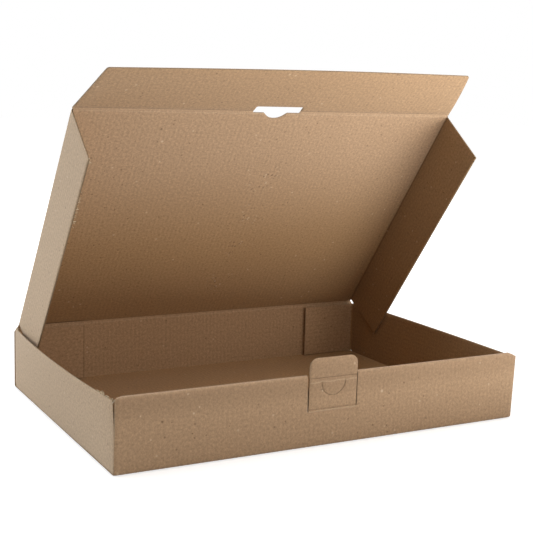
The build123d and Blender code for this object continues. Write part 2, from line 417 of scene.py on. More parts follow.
def board_mesh(
    name, place, breaks, step, panels_at, rows,
    blank=lambda across, along: (across, along), cut_ends=(True, True),
):
    """The middle surface of a sheet of board, cut to its outline, one column after another.

    panels_at gives, for a place across the board, each stretch along it that is board. blank says
    where a place lies on the flat blank, if it isn't the same.
    """
    verts, squeezes, index, faces = [], [], {}, []
    tiny = 1e-4

    def corner(across, along, squeeze):
        key = (round(across, 5), round(along, 5))
        if key not in index:
            index[key] = len(verts)
            verts.append((across, along))
            squeezes.append(squeeze)
        return index[key]

    for low, high in zip(breaks, breaks[1:]):
        count = max(1, math.ceil((high - low) / step))
        before = None
        for number in range(count + 1):
            across = low + (high - low) * number / count
            inside = min(max(across, low + tiny), high - tiny)
            column = []
            for begin, end in panels_at(inside):
                stops = [begin] + [r for r in rows if begin + 0.02 < r < end - 0.02] + [end]
                column.append([(across, stop, begin, end) for stop in stops])
            if before is not None:
                for old, new in zip(before, column):
                    faces += strip_faces(old, new, corner, breaks, cut_ends)
            before = column
    mesh = bpy.data.meshes.new(name)
    points = [place(across, along, 0.0) for across, along in verts]
    outs = [(place(*spot, 1.0) - point).normalized() for spot, point in zip(verts, points)]
    mesh.from_pydata([point * MM for point in points], [], faces)
    first = mesh.polygons[len(faces) // 2]
    if first.normal.dot(outs[first.vertices[0]]) < 0:
        mesh.flip_normals()
    on_blank = [blank(across, along) for across, along in verts]
    for label, kind, field, values in (
        ("outward", "FLOAT_VECTOR", "vector", [part for out in outs for part in out]),
        ("across", "FLOAT", "value", [(flat[0] + FLUTE_SKEW * flat[1]) * MM for flat in on_blank]),
        ("squeeze", "FLOAT", "value", squeezes),
    ):
        mesh.attributes.new(label, kind, "POINT").data.foreach_set(field, values)
    uv = mesh.uv_layers.new(name="board")
    for loop in mesh.loops:
        flat = on_blank[loop.vertex_index]
        uv.data[loop.index].uv = (flat[0] * MM, flat[1] * MM)
    mesh.update()
    return mesh


def strip_faces(old, new, corner, breaks, cut_ends):
    """The faces between two neighbouring columns."""

    def vertex(stop):
        across, along, begin, end = stop
        near = min(along - begin, end - along)
        if cut_ends[0]:
            near = min(near, across - breaks[0])
        if cut_ends[1]:
            near = min(near, breaks[-1] - across)
        return corner(across, along, 1 - EDGE_SQUEEZE * math.exp(-near / SQUEEZE_REACH))

    shared = sorted({round(s[1], 5) for s in old} & {round(s[1], 5) for s in new})
    faces = []
    bounds = [-1e9] + shared + [1e9]
    for low, high in zip(bounds, bounds[1:]):
        left = [s for s in old if low - 1e-4 <= s[1] <= high + 1e-4]
        right = [s for s in new if low - 1e-4 <= s[1] <= high + 1e-4]
        face = [vertex(s) for s in right] + [vertex(s) for s in reversed(left)]
        if len(set(face)) == len(face) and len(face) > 2:
            faces.append(face)
    return faces


def shaping_tree(name, inputs):
    """A Geometry Nodes tree with these named inputs, and the node that gives them."""
    tree = bpy.data.node_groups.new(name, "GeometryNodeTree")
    labelled = [("Geometry", "Geometry")]
    labelled += [(label, kind) for kind, labels in inputs.items() for label in labels]
    for label, kind in labelled:
        tree.interface.new_socket(label, in_out="INPUT", socket_type="NodeSocket" + kind)
    tree.interface.new_socket("Geometry", in_out="OUTPUT", socket_type="NodeSocketGeometry")
    return tree, tree.nodes.new("NodeGroupInput").outputs


def end_in_paper(tree, shape, paper):
    """Ends a tree: plain meshes in their paper."""
    real = node(tree, "GeometryNodeRealizeInstances", in_Geometry=shape)
    dressed = node(tree, "GeometryNodeSetMaterial", in_Geometry=real.outputs[0], in_Material=paper)
    tree.links.new(dressed.outputs[0], tree.nodes.new("NodeGroupOutput").inputs[0])


def shape_by(piece, tree, **values):
    """Gives a piece this tree, with each input set by its socket's identifier."""
    shaping = piece.modifiers.new(tree.name, "NODES")
    shaping.node_group = tree
    for item in tree.interface.items_tree:
        if item.item_type == "SOCKET" and item.in_out == "INPUT" and item.name in values:
            shaping[item.identifier] = values[item.name]


def plain_mesh(piece):
    """The mesh that a piece's modifiers make. The piece itself goes."""
    evaluated = piece.evaluated_get(bpy.context.evaluated_depsgraph_get())
    done = bpy.data.meshes.new_from_object(evaluated)
    bpy.data.objects.remove(piece)
    return done


def corrugation_tree():
    """Lifts a sheet's middle surface to one layer of the board and gives it the flutes' wave."""
    tree, given = shaping_tree("corrugated layer", {
        "Float": ("Lift", "Wave", "Pitch", "Unevenness", "Seed"),
        "Material": ("Paper",),
    })
    times, plus, minus = arithmetic(tree)[:3]

    def attribute(label, kind):
        return node(tree, "GeometryNodeInputNamedAttribute", data_type=kind, in_Name=label).outputs[0]

    turns = math_node(tree, "DIVIDE", attribute("across", "FLOAT"), given["Pitch"])
    wave = math_node(tree, "SINE", times(turns, 2 * math.pi))
    layer = plus(times(wave, given["Wave"]), given["Lift"])
    layer = times(layer, attribute("squeeze", "FLOAT"))
    warp = node(
        tree, "ShaderNodeTexNoise", noise_dimensions="4D", in_Scale=11.0, in_Detail=1.0,
        in_Vector=tree.nodes.new("GeometryNodeInputPosition").outputs[0], in_W=given["Seed"],
    )
    swell = times(minus(warp.outputs[0], 0.5), given["Unevenness"])
    shift = node(
        tree, "ShaderNodeVectorMath", operation="SCALE",
        in_Vector=attribute("outward", "FLOAT_VECTOR"), in_Scale=plus(layer, swell),
    )
    sheet, away = given["Geometry"], shift.outputs[0]
    move = node(tree, "GeometryNodeSetPosition", in_Geometry=sheet, in_Offset=away)
    end_in_paper(tree, move.outputs[0], given["Paper"])
    return tree


CORRUGATION = corrugation_tree()


def paper_layer(mesh, lift, wave, thickness, paper):
    """One layer of paper made from a sheet's middle surface, as a plain closed mesh."""
    layer = placed("layer", mesh)
    shape_by(
        layer, CORRUGATION, Lift=lift * MM, Wave=wave * MM, Pitch=FLUTE_PITCH * MM,
        Unevenness=UNEVENNESS * MM, Seed=4.0, Paper=paper,
    )
    solid = layer.modifiers.new("thickness", "SOLIDIFY")
    solid.thickness = thickness * MM
    solid.offset = 0.0
    solid.material_offset_rim = 1
    return plain_mesh(layer)


def joined(name, meshes, materials):
    """One object from several meshes, with its materials in order."""
    whole = bmesh.new()
    for mesh, slots in meshes:
        first = len(whole.faces)
        whole.from_mesh(mesh)
        whole.faces.ensure_lookup_table()
        for face in whole.faces[first:]:
            face.material_index = slots[min(face.material_index, len(slots) - 1)]
    mesh = bpy.data.meshes.new(name)
    whole.to_mesh(mesh)
    whole.free()
    for material in materials:
        mesh.materials.append(material)
    for label in ("outward", "across", "squeeze"):
        if label in mesh.attributes:
            mesh.attributes.remove(mesh.attributes[label])
    mesh.shade_smooth()
    mesh.set_sharp_from_angle(angle=math.radians(35))
    return placed(name, mesh)


def wear(piece, body):
    """Gives a piece to a part of the box, whose body and node have the same name."""
    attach(piece, body)
    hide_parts(body)


def corrugated(name, sheets):
    """Liners and flutes for the sheets of one part."""
    lift = HALF_BOARD - LINER / 2
    liners, flutes = [], []
    for sheet in sheets:
        coarse = board_mesh(name, step=LINER_STEP, **sheet)
        fine = board_mesh(name, step=FLUTE_STEP, **sheet)
        liners.append((paper_layer(coarse, lift, WASHBOARD, LINER, OUTER_KRAFT), (0, 2)))
        liners.append((paper_layer(coarse, -lift, WASHBOARD, LINER, INNER_KRAFT), (1, 2)))
        flutes.append((paper_layer(fine, 0.0, FLUTE_HEIGHT, FLUTE_PAPER, FLUTE_KRAFT), (0, 0)))
    wear(joined(name + "_liners", liners, [OUTER_KRAFT, INNER_KRAFT, CUT_EDGE]), name)
    wear(joined(name + "_flutes", flutes, [FLUTE_KRAFT]), name)


def torn_tree():
    """Scatters small curled shreds of torn paper along an edge."""
    tree, given = shaping_tree("torn paper", {
        "Int": ("Shreds", "Seed"),
        "Float": ("Length", "Width", "Thickness", "Spread"),
        "Vector": ("Stands",),
        "Material": ("Paper",),
    })
    times, plus = arithmetic(tree)[:2]

    def chance(low, high, kind, seed_shift):
        """A random value for each shred."""
        made = node(tree, "FunctionNodeRandomValue", data_type=kind)
        for socket, value in zip([socket for socket in made.inputs if socket.enabled], (low, high)):
            feed(tree, socket, value)
        feed(tree, made.inputs["Seed"], plus(given["Seed"], seed_shift))
        return next(socket for socket in made.outputs if socket.enabled)

    line = node(tree, "GeometryNodeMeshToCurve", in_Mesh=given["Geometry"]).outputs[0]
    spaced = node(tree, "GeometryNodeResampleCurve", in_Curve=line, in_Count=given["Shreds"])
    points = node(tree, "GeometryNodeCurveToPoints", mode="EVALUATED", in_Curve=spaced.outputs[0])
    least = times(given["Spread"], -1.0)
    strewn = node(
        tree, "GeometryNodeSetPosition", in_Geometry=points.outputs[0],
        in_Offset=chance(least, given["Spread"], "FLOAT_VECTOR", 0),
    )

    size = node(
        tree, "ShaderNodeCombineXYZ", in_X=given["Width"], in_Y=given["Thickness"], in_Z=given["Length"]
    )
    shred = node(tree, "GeometryNodeMeshCube", in_Size=size.outputs[0], in_Vertices_Z=5)
    here = tree.nodes.new("GeometryNodeInputPosition").outputs[0]
    place = node(tree, "ShaderNodeSeparateXYZ", in_Vector=here).outputs
    share = plus(math_node(tree, "DIVIDE", place[2], given["Length"]), 0.5)
    curl = times(math_node(tree, "POWER", share, 2.0), given["Length"])
    bend = node(
        tree, "ShaderNodeCombineXYZ", in_X=times(times(place[0], share), -0.7),
        in_Y=times(curl, 0.45), in_Z=times(given["Length"], 0.3),
    )
    flat, bent = shred.outputs[0], bend.outputs[0]
    curled = node(tree, "GeometryNodeSetPosition", in_Geometry=flat, in_Offset=bent)

    upright = node(tree, "FunctionNodeAlignRotationToVector", axis="Z", in_Vector=given["Stands"])
    swung = node(
        tree, "FunctionNodeRotateRotation", rotation_space="LOCAL", in_Rotation=upright.outputs[0],
        in_Rotate_By=chance((-0.9, -0.9, -3.1), (0.9, 0.9, 3.1), "FLOAT_VECTOR", 7),
    )
    strew = node(
        tree, "GeometryNodeInstanceOnPoints", in_Points=strewn.outputs[0],
        in_Instance=curled.outputs[0], in_Rotation=swung.outputs[0],
        in_Scale=chance(0.3, 1.1, "FLOAT", 13),
    )
    end_in_paper(tree, strew.outputs[0], given["Paper"])
    return tree


TORN = torn_tree()


def torn_edge(start, end, shreds, length, spread, stands, seed):
    """Shreds of torn paper between two places on an edge, as a plain mesh."""
    line = bpy.data.meshes.new("edge")
    line.from_pydata([start * MM, end * MM], [(0, 1)], [])
    edge = placed("edge", line)
    shape_by(
        edge, TORN, Shreds=shreds, Length=length * MM, Width=0.45 * length * MM, Thickness=0.12 * MM,
        Spread=spread * MM, Stands=stands, Seed=seed, Paper=TORN_PAPER,
    )
    done = plain_mesh(edge)
    for layer in list(done.uv_layers):
        done.uv_layers.remove(layer)
    flat = done.uv_layers.new(name="board")
    for loop in done.loops:
        spot = done.vertices[loop.vertex_index].co
        flat.data[loop.index].uv = (spot.x + spot.y, spot.z)
    return done


def torn_paper_on(name, meshes, body):
    """One piece of torn shreds on a part of the box."""
    wear(joined(name, [(mesh, (0, 0)) for mesh in meshes], [TORN_PAPER]), body)


def fold_ridge(name, low, high, middle, body, along, size=0.94):
    """The round crushed line of a fold that turns, from low to high across the box."""
    shape = bmesh.new()
    count = max(2, round((high - low) / 4))
    turns = [2 * math.pi * k / RIDGE_SIDES for k in range(RIDGE_SIDES)]
    rings = []
    for ring in range(count + 1):
        x = low + (high - low) * ring / count
        radius = HALF_BOARD * (size + 0.03 * math.sin(x * 1.7) + 0.02 * math.sin(x * 0.61 + 1))
        around = [Vector((x, radius * math.cos(turn), radius * math.sin(turn))) for turn in turns]
        rings.append([shape.verts.new((point + Vector((0, middle.y, middle.z))) * MM) for point in around])
    for first, second in zip(rings, rings[1:]):
        for k in range(RIDGE_SIDES):
            after = (k + 1) % RIDGE_SIDES
            shape.faces.new((first[k], first[after], second[after], second[k]))
    shape.faces.new(reversed(rings[0]))
    shape.faces.new(rings[-1])
    bmesh.ops.recalc_face_normals(shape, faces=shape.faces)
    uv = shape.loops.layers.uv.new("board")
    for face in shape.faces:
        for loop in face.loops:
            loop[uv].uv = (loop.vert.co.x, (along - middle.z) * MM + loop.vert.co.z)
    mesh = bpy.data.meshes.new(name)
    shape.to_mesh(mesh)
    shape.free()
    mesh.materials.append(OUTER_KRAFT)
    mesh.shade_smooth()
    mesh.set_sharp_from_angle(angle=math.radians(50))
    wear(placed(name, mesh), body)


# Tray

strip_line, strip_bends, strip_length = fold_path(
    [
        (INNER_MID, HALF_BOARD + BOARD),
        (INNER_MID, FRONT_HEIGHT - HALF_BOARD),
        (FRONT_MID, FRONT_HEIGHT - HALF_BOARD),
        (FRONT_MID, HALF_BOARD),
        (BACK_MID, HALF_BOARD),
        (BACK_MID, HINGE_HEIGHT),
    ],
    FOLD_RADIUS,
)
INNER_TOP = strip_bends[0][1]
FRONT_TOP = strip_bends[1][1]
FRONT_BEND_HEIGHT = FRONT_HEIGHT - HALF_BOARD - FOLD_RADIUS
BASE_START = strip_bends[2][1]
BACK_FOOT = strip_bends[3][1]
BACK_BEND_HEIGHT = HALF_BOARD + FOLD_RADIUS


def inner_along(height):
    return height - HALF_BOARD - BOARD


def front_along(height):
    return FRONT_TOP + FRONT_BEND_HEIGHT - height


def back_along(height):
    return BACK_FOOT + height - BACK_BEND_HEIGHT


def strip_place(across, along, out):
    """A place on the strip. Both ends of the front wall lean to the right at their top."""
    point, way = strip_line(along)
    if abs(across) > HALF_WIDTH - FLARE_REACH and INNER_TOP < along < BASE_START:
        share = min(1.0, (along - INNER_TOP) / (FRONT_TOP - INNER_TOP))
        near = (abs(across) - HALF_WIDTH + FLARE_REACH) / FLARE_REACH
        lean = FRONT_FLARE if across > 0 else LEFT_LEAN
        across += lean * share * near ** 2 * max(0.0, point.y) / FRONT_HEIGHT
    return Vector((across, point.x + way.y * out, point.y - way.x * out))


def strip_panels(across):
    """The strip's outline: fold ends at the corners, and the window and hole of the lock."""
    side = abs(across)
    end = strip_length
    if side > HALF_WIDTH - HINGE_CORNER_RUN:
        drop = (side - HALF_WIDTH + HINGE_CORNER_RUN) / HINGE_CORNER_RUN * HINGE_CORNER_DROP
        end = back_along(HINGE_HEIGHT - drop)
    if side > HALF_WIDTH - FOLD_END_RUN:
        run, drop = FOLD_END_RUN, FOLD_END_DROP
        if across < 0:
            run, drop = LEFT_FOLD_END_RUN, LEFT_FOLD_END_DROP
        slope = min(1.0, max(0.0, (side - HALF_WIDTH + run) / (run - FOLD_END_MARGIN)))
        drop = FOLD_END_START + slope * (drop - FOLD_END_START)
        return [(front_along(FRONT_HEIGHT - drop), end)]
    wedge = LOCK - LOCK_HALF - across
    if 0 < wedge < SLIT_WEDGE:
        share = min(1.0, max(0.0, (wedge - 0.01) / (SLIT_WEDGE - 0.02)))
        height = TONGUE_ROOT + (FRONT_HEIGHT - HALF_BOARD - TONGUE_ROOT) * share
        return [(0.0, INNER_TOP), (front_along(height), end)]
    from_lock = abs(across - LOCK)
    if from_lock < LOCK_HALF:
        rounding = max(0.0, TONGUE_CORNER - (LOCK_HALF - from_lock))
        rise = TONGUE_CORNER - math.sqrt(max(0.0, TONGUE_CORNER ** 2 - rounding ** 2))
        return [(0.0, inner_along(INNER_CUT + rise)), (front_along(TONGUE_ROOT), end)]
    return [(0.0, end)]


strip_rows = sorted(
    bend_rows(strip_bends)
    + [inner_along(h) for h in (3.4, 14, 26, INNER_CUT, INNER_CUT + 2.5, INNER_CUT + TONGUE_CORNER)]
    + [front_along(h) for h in (44, 38, 32, 28, TONGUE_ROOT, 18, 12, 6)]
    + [BASE_START + (BACK_FOOT - BASE_START) * k / 8 for k in range(1, 8)]
    + [back_along(h) for h in (8, 16, 24, 32, 38, HINGE_HEIGHT - HINGE_CORNER_DROP, 45.5)]
)
strip_sheet = dict(
    place=strip_place,
    breaks=sorted(
        both_sides(0.0, HALF_WIDTH, HALF_WIDTH - FOLD_END_MARGIN)
        + both_sides(0.0, HALF_WIDTH - HINGE_CORNER_RUN, HALF_WIDTH - FOLD_END_RUN)
        + both_sides(LOCK, LOCK_HALF)
        + [-HALF_WIDTH + LEFT_FOLD_END_RUN, LOCK - LOCK_HALF - SLIT_WEDGE]
    ),
    panels_at=strip_panels,
    rows=strip_rows,
)

# Side walls with their rear corner flaps

FOOT_BEND = FOLD_RADIUS * math.pi / 2
WALL_REAR = WALL_END - CORNER_FLAP_SLACK - HALF_BOARD - FOLD_RADIUS
REAR_BEND = WALL_REAR + FOLD_RADIUS * math.pi / 2
FLAP_END = REAR_BEND + WALL_FOOT - (HALF_WIDTH - CORNER_FLAP_LENGTH)


def wall_height(up):
    return up - FOOT_BEND + BACK_BEND_HEIGHT


def wall_up(height):
    return height + FOOT_BEND - BACK_BEND_HEIGHT


def wall_blank(along):
    """Along the blank, with the corner flap drawn in so that it stays clear of the lid's paper."""
    on_flap = max(0.0, along - REAR_BEND)
    return BASE_START - FRONT_MID + min(along, REAR_BEND) + CORNER_FLAP_DRAWN_IN * on_flap


def side_sheet(side):
    """A side wall, folded up from the base, and round the corner its rear flap."""
    flap_end = FLAP_END + (LEFT_CORNER_FLAP_EXTRA if side < 0 else 0.0)

    def place(up, along, out):
        turn = min(up, FOOT_BEND) / FOLD_RADIUS
        reach = WALL_FOOT + math.sin(turn) * (FOLD_RADIUS + out)
        height = BACK_BEND_HEIGHT - math.cos(turn) * (FOLD_RADIUS + out)
        if up > FOOT_BEND:
            height = wall_height(up)
        y = along
        if along < WALL_REAR:
            bow = BULGES[side] * max(0.0, height) / SIDE_HEIGHT
            reach += bow * (1 - (along / WALL_REAR) ** 2)
        elif along < REAR_BEND:
            swing = (along - WALL_REAR) / FOLD_RADIUS
            reach = WALL_FOOT + math.cos(swing) * (FOLD_RADIUS + out)
            y = WALL_REAR + math.sin(swing) * (FOLD_RADIUS + out)
        else:
            reach = WALL_FOOT - (along - REAR_BEND)
            bow = CORNER_FLAP_BOWS[side] * ((along - REAR_BEND) / (flap_end - REAR_BEND)) ** 2
            y = WALL_REAR + FOLD_RADIUS + out - bow
        return Vector((side * reach, y, height))

    def panels(up):
        height = wall_height(up) if up > FOOT_BEND else 0.0
        rise = max(0.0, height - CORNER_GAP_FOOT) / (SIDE_HEIGHT - CORNER_GAP_FOOT)
        begin = -WALL_END + CORNER_AIR + CORNER_GAPS[side] * rise ** 1.5
        if CORNER_FLAP_FOOT < height < CORNER_FLAP_TOP:
            return [(begin, flap_end)]
        return [(begin, WALL_REAR)]

    rows = (
        [-WALL_END + 0.75, -WALL_END + 1.9]
        + [-WALL_END + 2 * WALL_END * k / 24 for k in range(1, 24)]
        + bend_rows([(WALL_REAR, REAR_BEND)])
        + [REAR_BEND + (flap_end - REAR_BEND) * k / 4 for k in range(1, 4)]
        + [flap_end - 1.2]
    )
    return dict(
        place=place,
        breaks=[
            0.0,
            FOOT_BEND / 3,
            FOOT_BEND * 2 / 3,
            FOOT_BEND,
            wall_up(CORNER_FLAP_FOOT),
            wall_up(CORNER_GAP_FOOT),
            wall_up(CORNER_FLAP_TOP),
            wall_up(SIDE_HEIGHT),
        ],
        panels_at=panels,
        rows=rows,
        blank=lambda up, along: (side * (WALL_FOOT + up), wall_blank(along)),
        cut_ends=(False, True),
    )


def pressed_flap_sheet(side):
    """A front corner flap, pressed thin inside the double front wall."""
    middle = -WALL_END + INNER_PANEL_SLACK / 2

    def place(up, along, out):
        return Vector((side * (HALF_WIDTH - along), middle + out * 0.3, up))

    return dict(
        place=place,
        breaks=[CORNER_FLAP_FOOT, CORNER_FLAP_TOP],
        panels_at=lambda up: [(PRESSED_FLAP_START, PRESSED_FLAP_LENGTH)],
        rows=[PRESSED_FLAP_LENGTH * k / 4 for k in range(1, 4)],
        blank=lambda up, along: (side * (HALF_WIDTH + up), BASE_START - along),
    )


# Papers

OUTER_MARKS = {
    "dark": [(x, front_along(z), size) for x, z, size in (
        (-121.7, 30.4, 0.75), (-115.4, 29.0, 0.4), (-101.5, 20.4, 0.5), (43.4, 7.8, 0.6),
        (73.1, 24.9, 0.5), (-9.6, 38.6, 0.7), (-76.0, 22.0, 0.4),
    )],
    "pale": [(x, front_along(z), size) for x, z, size in (
        (-100.8, 33.1, 0.7), (-97.1, 36.8, 0.5), (-136.0, 35.5, 0.5), (-128.9, 19.8, 0.5),
        (38.2, 32.3, 1.0), (41.6, 7.2, 0.5), (121.1, 43.8, 0.5), (123.0, 13.0, 0.5), (-9.0, 37.4, 0.5),
    )],
    "creases": [
        (LOCK, TONGUE_WIDTH / 2 - 1.5, front_along(SCORED_CREASE), 0.22),
        (LOCK, TONGUE_WIDTH / 2 + 0.5, front_along(TONGUE_ROOT), 0.30),
    ],
    "shadows": [
        (LOCK, TONGUE_WIDTH / 2, front_along(TONGUE_ROOT + 1.2), 0.16, 0.8),
        (0.0, HALF_WIDTH, FRONT_TOP - 0.6, 0.16, 2.2),
        (0.0, HALF_WIDTH, FRONT_TOP + 4.0, 0.21, 14.0),
        (LOCK, TONGUE_WIDTH / 2 + 1.0, front_along(52.0), 0.24, 16.0),
    ],
}
LID_BLANK = strip_length
TUCK_BLANK = LID_BLANK + LID_LENGTH
INNER_MARKS = {
    "dark": [(x, LID_BLANK + along, size) for x, along, size in (
        (-83.8, 194.5, 0.7), (-62.4, 171.3, 0.6), (-59.4, 182.1, 0.45), (-118.0, 148.0, 0.4),
    )],
    "pale": [(x, LID_BLANK + along, size) for x, along, size in (
        (-80.4, 183.6, 0.85), (-110.8, 160.2, 0.6), (-77.4, 165.4, 0.6),
    )],
    "pits": [(x, LID_BLANK + along, size) for x, along, size in (
        (9.0, 150.0, 12.0), (12.0, 113.0, 10.0), (12.0, 77.0, 8.0), (9.0, 38.0, 9.0),
    )],
    "shadows": [
        (0.0, HALF_LID, TUCK_BLANK + 0.8, 0.42, 1.0),
        (0.0, HALF_LID, LID_BLANK + 0.9, 0.30, 0.6),
        (-HALF_LID + 22.0, 26.0, LID_BLANK + 1.6, 0.75, 0.9),
        (-HALF_WIDTH - 22.0, 24.0, wall_blank(FLAP_END + LEFT_CORNER_FLAP_EXTRA) - 0.3, 0.4, 0.7),
    ],
    # Painted shadow along the lid's side folds.
    "side fold shadows": [(HALF_LID + 0.3, LID_BLANK + LID_LENGTH / 2, LID_LENGTH / 2 - 1.0, 0.42, 1.1)],
    # Painted shade: the inside of the tray's base is tinted darker and browner.
    "shade tints": [
        (HALF_WIDTH - 2.5, (BASE_START + BACK_FOOT) / 2, (BACK_FOOT - BASE_START) / 2 - 1.0, PAINTED_BASE_SHADE),
    ],
    "creases": [
        (0.0, HALF_LID - 1.0, TUCK_BLANK - 1.7, 0.14),
        (0.0, HALF_WIDTH - 4.0, LID_BLANK - 1.6, 0.16),
    ],
}
# Painted shade on the inside of the sheet: the paper is darker and browner where the box's inside lies in
# shade, namely the lid near its hinge, the tuck flap, the lid's side flaps and the side walls. Each says
# how far across it starts, its stretch and strength.
INNER_PAINTED_SHADE = [
    (0.0, (LID_BLANK + 180.0, LID_BLANK + 60.0, LID_BLANK), 1.0),
    (0.0, (TUCK_BLANK - 0.5, TUCK_BLANK, TUCK_BLANK + TUCK_LENGTH + 2.0), 0.4),
    (HALF_LID, (LID_BLANK + 3.0, LID_BLANK + 4.0, LID_BLANK + LID_LENGTH), 1.0),
    (HALF_WIDTH - 2.0, (BASE_START - 1.0, BASE_START, BACK_FOOT), 1.0),
]
OUTER_KRAFT = kraft_paper(
    "outer kraft liner", (0.465, 0.325, 0.207), (0.415, 0.285, 0.178),
    grain=0.46, painted_crest_shade=0.01, marks=OUTER_MARKS,
)
INNER_KRAFT = kraft_paper(
    "inner kraft liner", (0.442, 0.306, 0.195), (0.400, 0.272, 0.169),
    seed=3.1, grain=0.55, painted_crest_shade=0.07, marks=INNER_MARKS, painted_shade=INNER_PAINTED_SHADE,
)
CUT_EDGE = kraft_paper("cut paper edge", (0.68, 0.55, 0.40), (0.56, 0.44, 0.31), seed=7.7)
TORN_PAPER = kraft_paper("torn paper", (0.74, 0.64, 0.48), (0.50, 0.43, 0.30), seed=9.2)
FLUTE_KRAFT = kraft_paper("flute paper", (0.42, 0.33, 0.22), (0.34, 0.27, 0.175), seed=5.3)

corrugated("tray", [strip_sheet, side_sheet(-1), side_sheet(1)])

pressed = []
for side in (-1, 1):
    sheet = board_mesh("pressed flap", step=6.0, **pressed_flap_sheet(side))
    pressed.append((paper_layer(sheet, 0.0, 0.0, INNER_PANEL_SLACK - 0.1, OUTER_KRAFT), (0, 1)))
wear(joined("front_corner_flaps", pressed, [OUTER_KRAFT, CUT_EDGE]), "tray")


def wall_top(along, drop, lean=0.0):
    """A place on the left wall's top edge."""
    return Vector((-(HALF_WIDTH - HALF_BOARD) - lean, along, SIDE_HEIGHT - drop))


torn_paper_on("torn_side_wall_edge", [
    torn_edge(wall_top(-WALL_END + 1.5, 0.3), wall_top(-82.0, 0.3, 1.5), 56, 1.9, 0.7, (0, 0, 1), 4),
    torn_edge(wall_top(98.0, 0.4), wall_top(WALL_END - 2.0, 0.4), 14, 1.8, 0.6, (0, 0, 1), 9),
], "tray")

# Lid

flap_foot = HALF_LID - HALF_BOARD
flap_run = FLAP_WIDTH - HALF_BOARD
lid_line, lid_bends, lid_across = fold_path(
    [
        (-flap_foot - flap_run * math.tan(FLAP_SPLAY), -flap_run),
        (-flap_foot, 0),
        (flap_foot, 0),
        (flap_foot + flap_run * math.tan(FLAP_SPLAY), -flap_run),
    ],
    FOLD_RADIUS,
)
LID_MIDDLE = lid_across / 2


def lid_place(across, along, out):
    point, way = lid_line(across)
    sideways = Vector((point.x - way.y * out, 0, 0))
    return HINGE + sideways + LID_OUT * (point.y + way.x * out) + LID_ALONG * along


def lid_panels(across):
    """The lid's outline: slanted flap ends, and the slot's edge with its finger notch."""
    depth = -lid_line(across)[0].y
    if depth > HALF_BOARD:
        share = (depth - HALF_BOARD) / (FLAP_WIDTH - HALF_BOARD)
        rear = REAR_END_INSET + share * (REAR_TIP_INSET - REAR_END_INSET)
        front = LID_LENGTH - FRONT_END_INSET - share * (FRONT_TIP_INSET - FRONT_END_INSET)
        narrowing = (depth - FLAP_REAR_WIDTH + HALF_BOARD) / (FLAP_WIDTH - FLAP_REAR_WIDTH)
        return [(max(rear, min(narrowing, 0.98) * LID_LENGTH), front)]
    x = across - LID_MIDDLE
    end = LID_LENGTH - (SIDE_FOLD_INSET if depth > SIDE_FOLD_DEPTH else FRONT_EDGE_INSET)
    from_lock = abs(x - LOCK)
    if from_lock < SLOT_HALF:
        rounding = max(0.0, SLOT_CORNER - (SLOT_HALF - from_lock))
        end = LID_LENGTH - SLOT_INTO_LID
        end += SLOT_CORNER - math.sqrt(max(0.0, SLOT_CORNER ** 2 - rounding ** 2))
        from_notch = abs(x - NOTCH_MIDDLE)
        if from_notch < NOTCH_HALF:
            sag = (NOTCH_DEPTH - SLOT_INTO_LID) * (1 - (from_notch / NOTCH_HALF) ** 2.4) ** 1.2
            end = LID_LENGTH - SLOT_INTO_LID - sag
    return [(PANEL_START, end)]


def depth_breaks(depth):
    """Places across the lid's sheet where the side flaps are this deep."""
    slant = 1 / math.cos(FLAP_SPLAY)
    return (flap_run - depth) * slant, lid_across - (flap_run - depth) * slant


left_rear, right_rear = depth_breaks(FLAP_REAR_WIDTH - HALF_BOARD)
lid_sheet = dict(
    place=lid_place,
    breaks=sorted(
        [0.0, left_rear, right_rear, lid_across]
        + [low + (high - low) * k / 4 for low, high in lid_bends for k in range(5)]
        + both_sides(LID_MIDDLE + LOCK, SLOT_HALF)
        + both_sides(LID_MIDDLE + NOTCH_MIDDLE, NOTCH_HALF)
    ),
    panels_at=lid_panels,
    rows=sorted(
        [1.8, REAR_END_INSET, 8.5]
        + [LID_LENGTH - inset for inset in (9, 6, FRONT_END_INSET, SLOT_INTO_LID, 1.0)]
        + [LID_LENGTH * k / 18 for k in range(1, 18)]
    ),
    blank=lambda across, along: (across - LID_MIDDLE, LID_BLANK + along),
)
corrugated("lid", [lid_sheet])

flap_in = tuple(Vector((0.8, 0, 0)) - LID_OUT * 0.4)


def flap_edge(along):
    """A place on the left side flap's free edge."""
    return lid_place(0.0, along, -0.5) + LID_OUT * 0.7


torn_paper_on("torn_side_flap_edge", [
    torn_edge(flap_edge(150.0), flap_edge(179.0), 30, 1.9, 0.5, flap_in, 21),
    torn_edge(flap_edge(204.5), flap_edge(207.0), 5, 1.8, 0.4, flap_in, 25),
], "lid")

# Tuck flap

TUCK_ALONG = Vector((0, -math.cos(TUCK_ANGLE), math.sin(TUCK_ANGLE)))
TUCK_OUT = Vector((0, math.sin(TUCK_ANGLE), math.cos(TUCK_ANGLE)))


def tuck_place(across, along, out):
    """A place on the tuck flap, whose free edge is warped outwards, more so to the right."""
    share = min(1.0, TUCK_WARP_RISE * (across + TUCK_ROOT) / TUCK_ROOT)
    warp = TUCK_WARP * math.sin(math.pi / 2 * max(0.0, share))
    warp *= (max(0.0, along) / TUCK_LENGTH) ** TUCK_WARP_CURVE
    return FRONT_FOLD + Vector((across, 0, 0)) + TUCK_ALONG * along + TUCK_OUT * (out + warp)


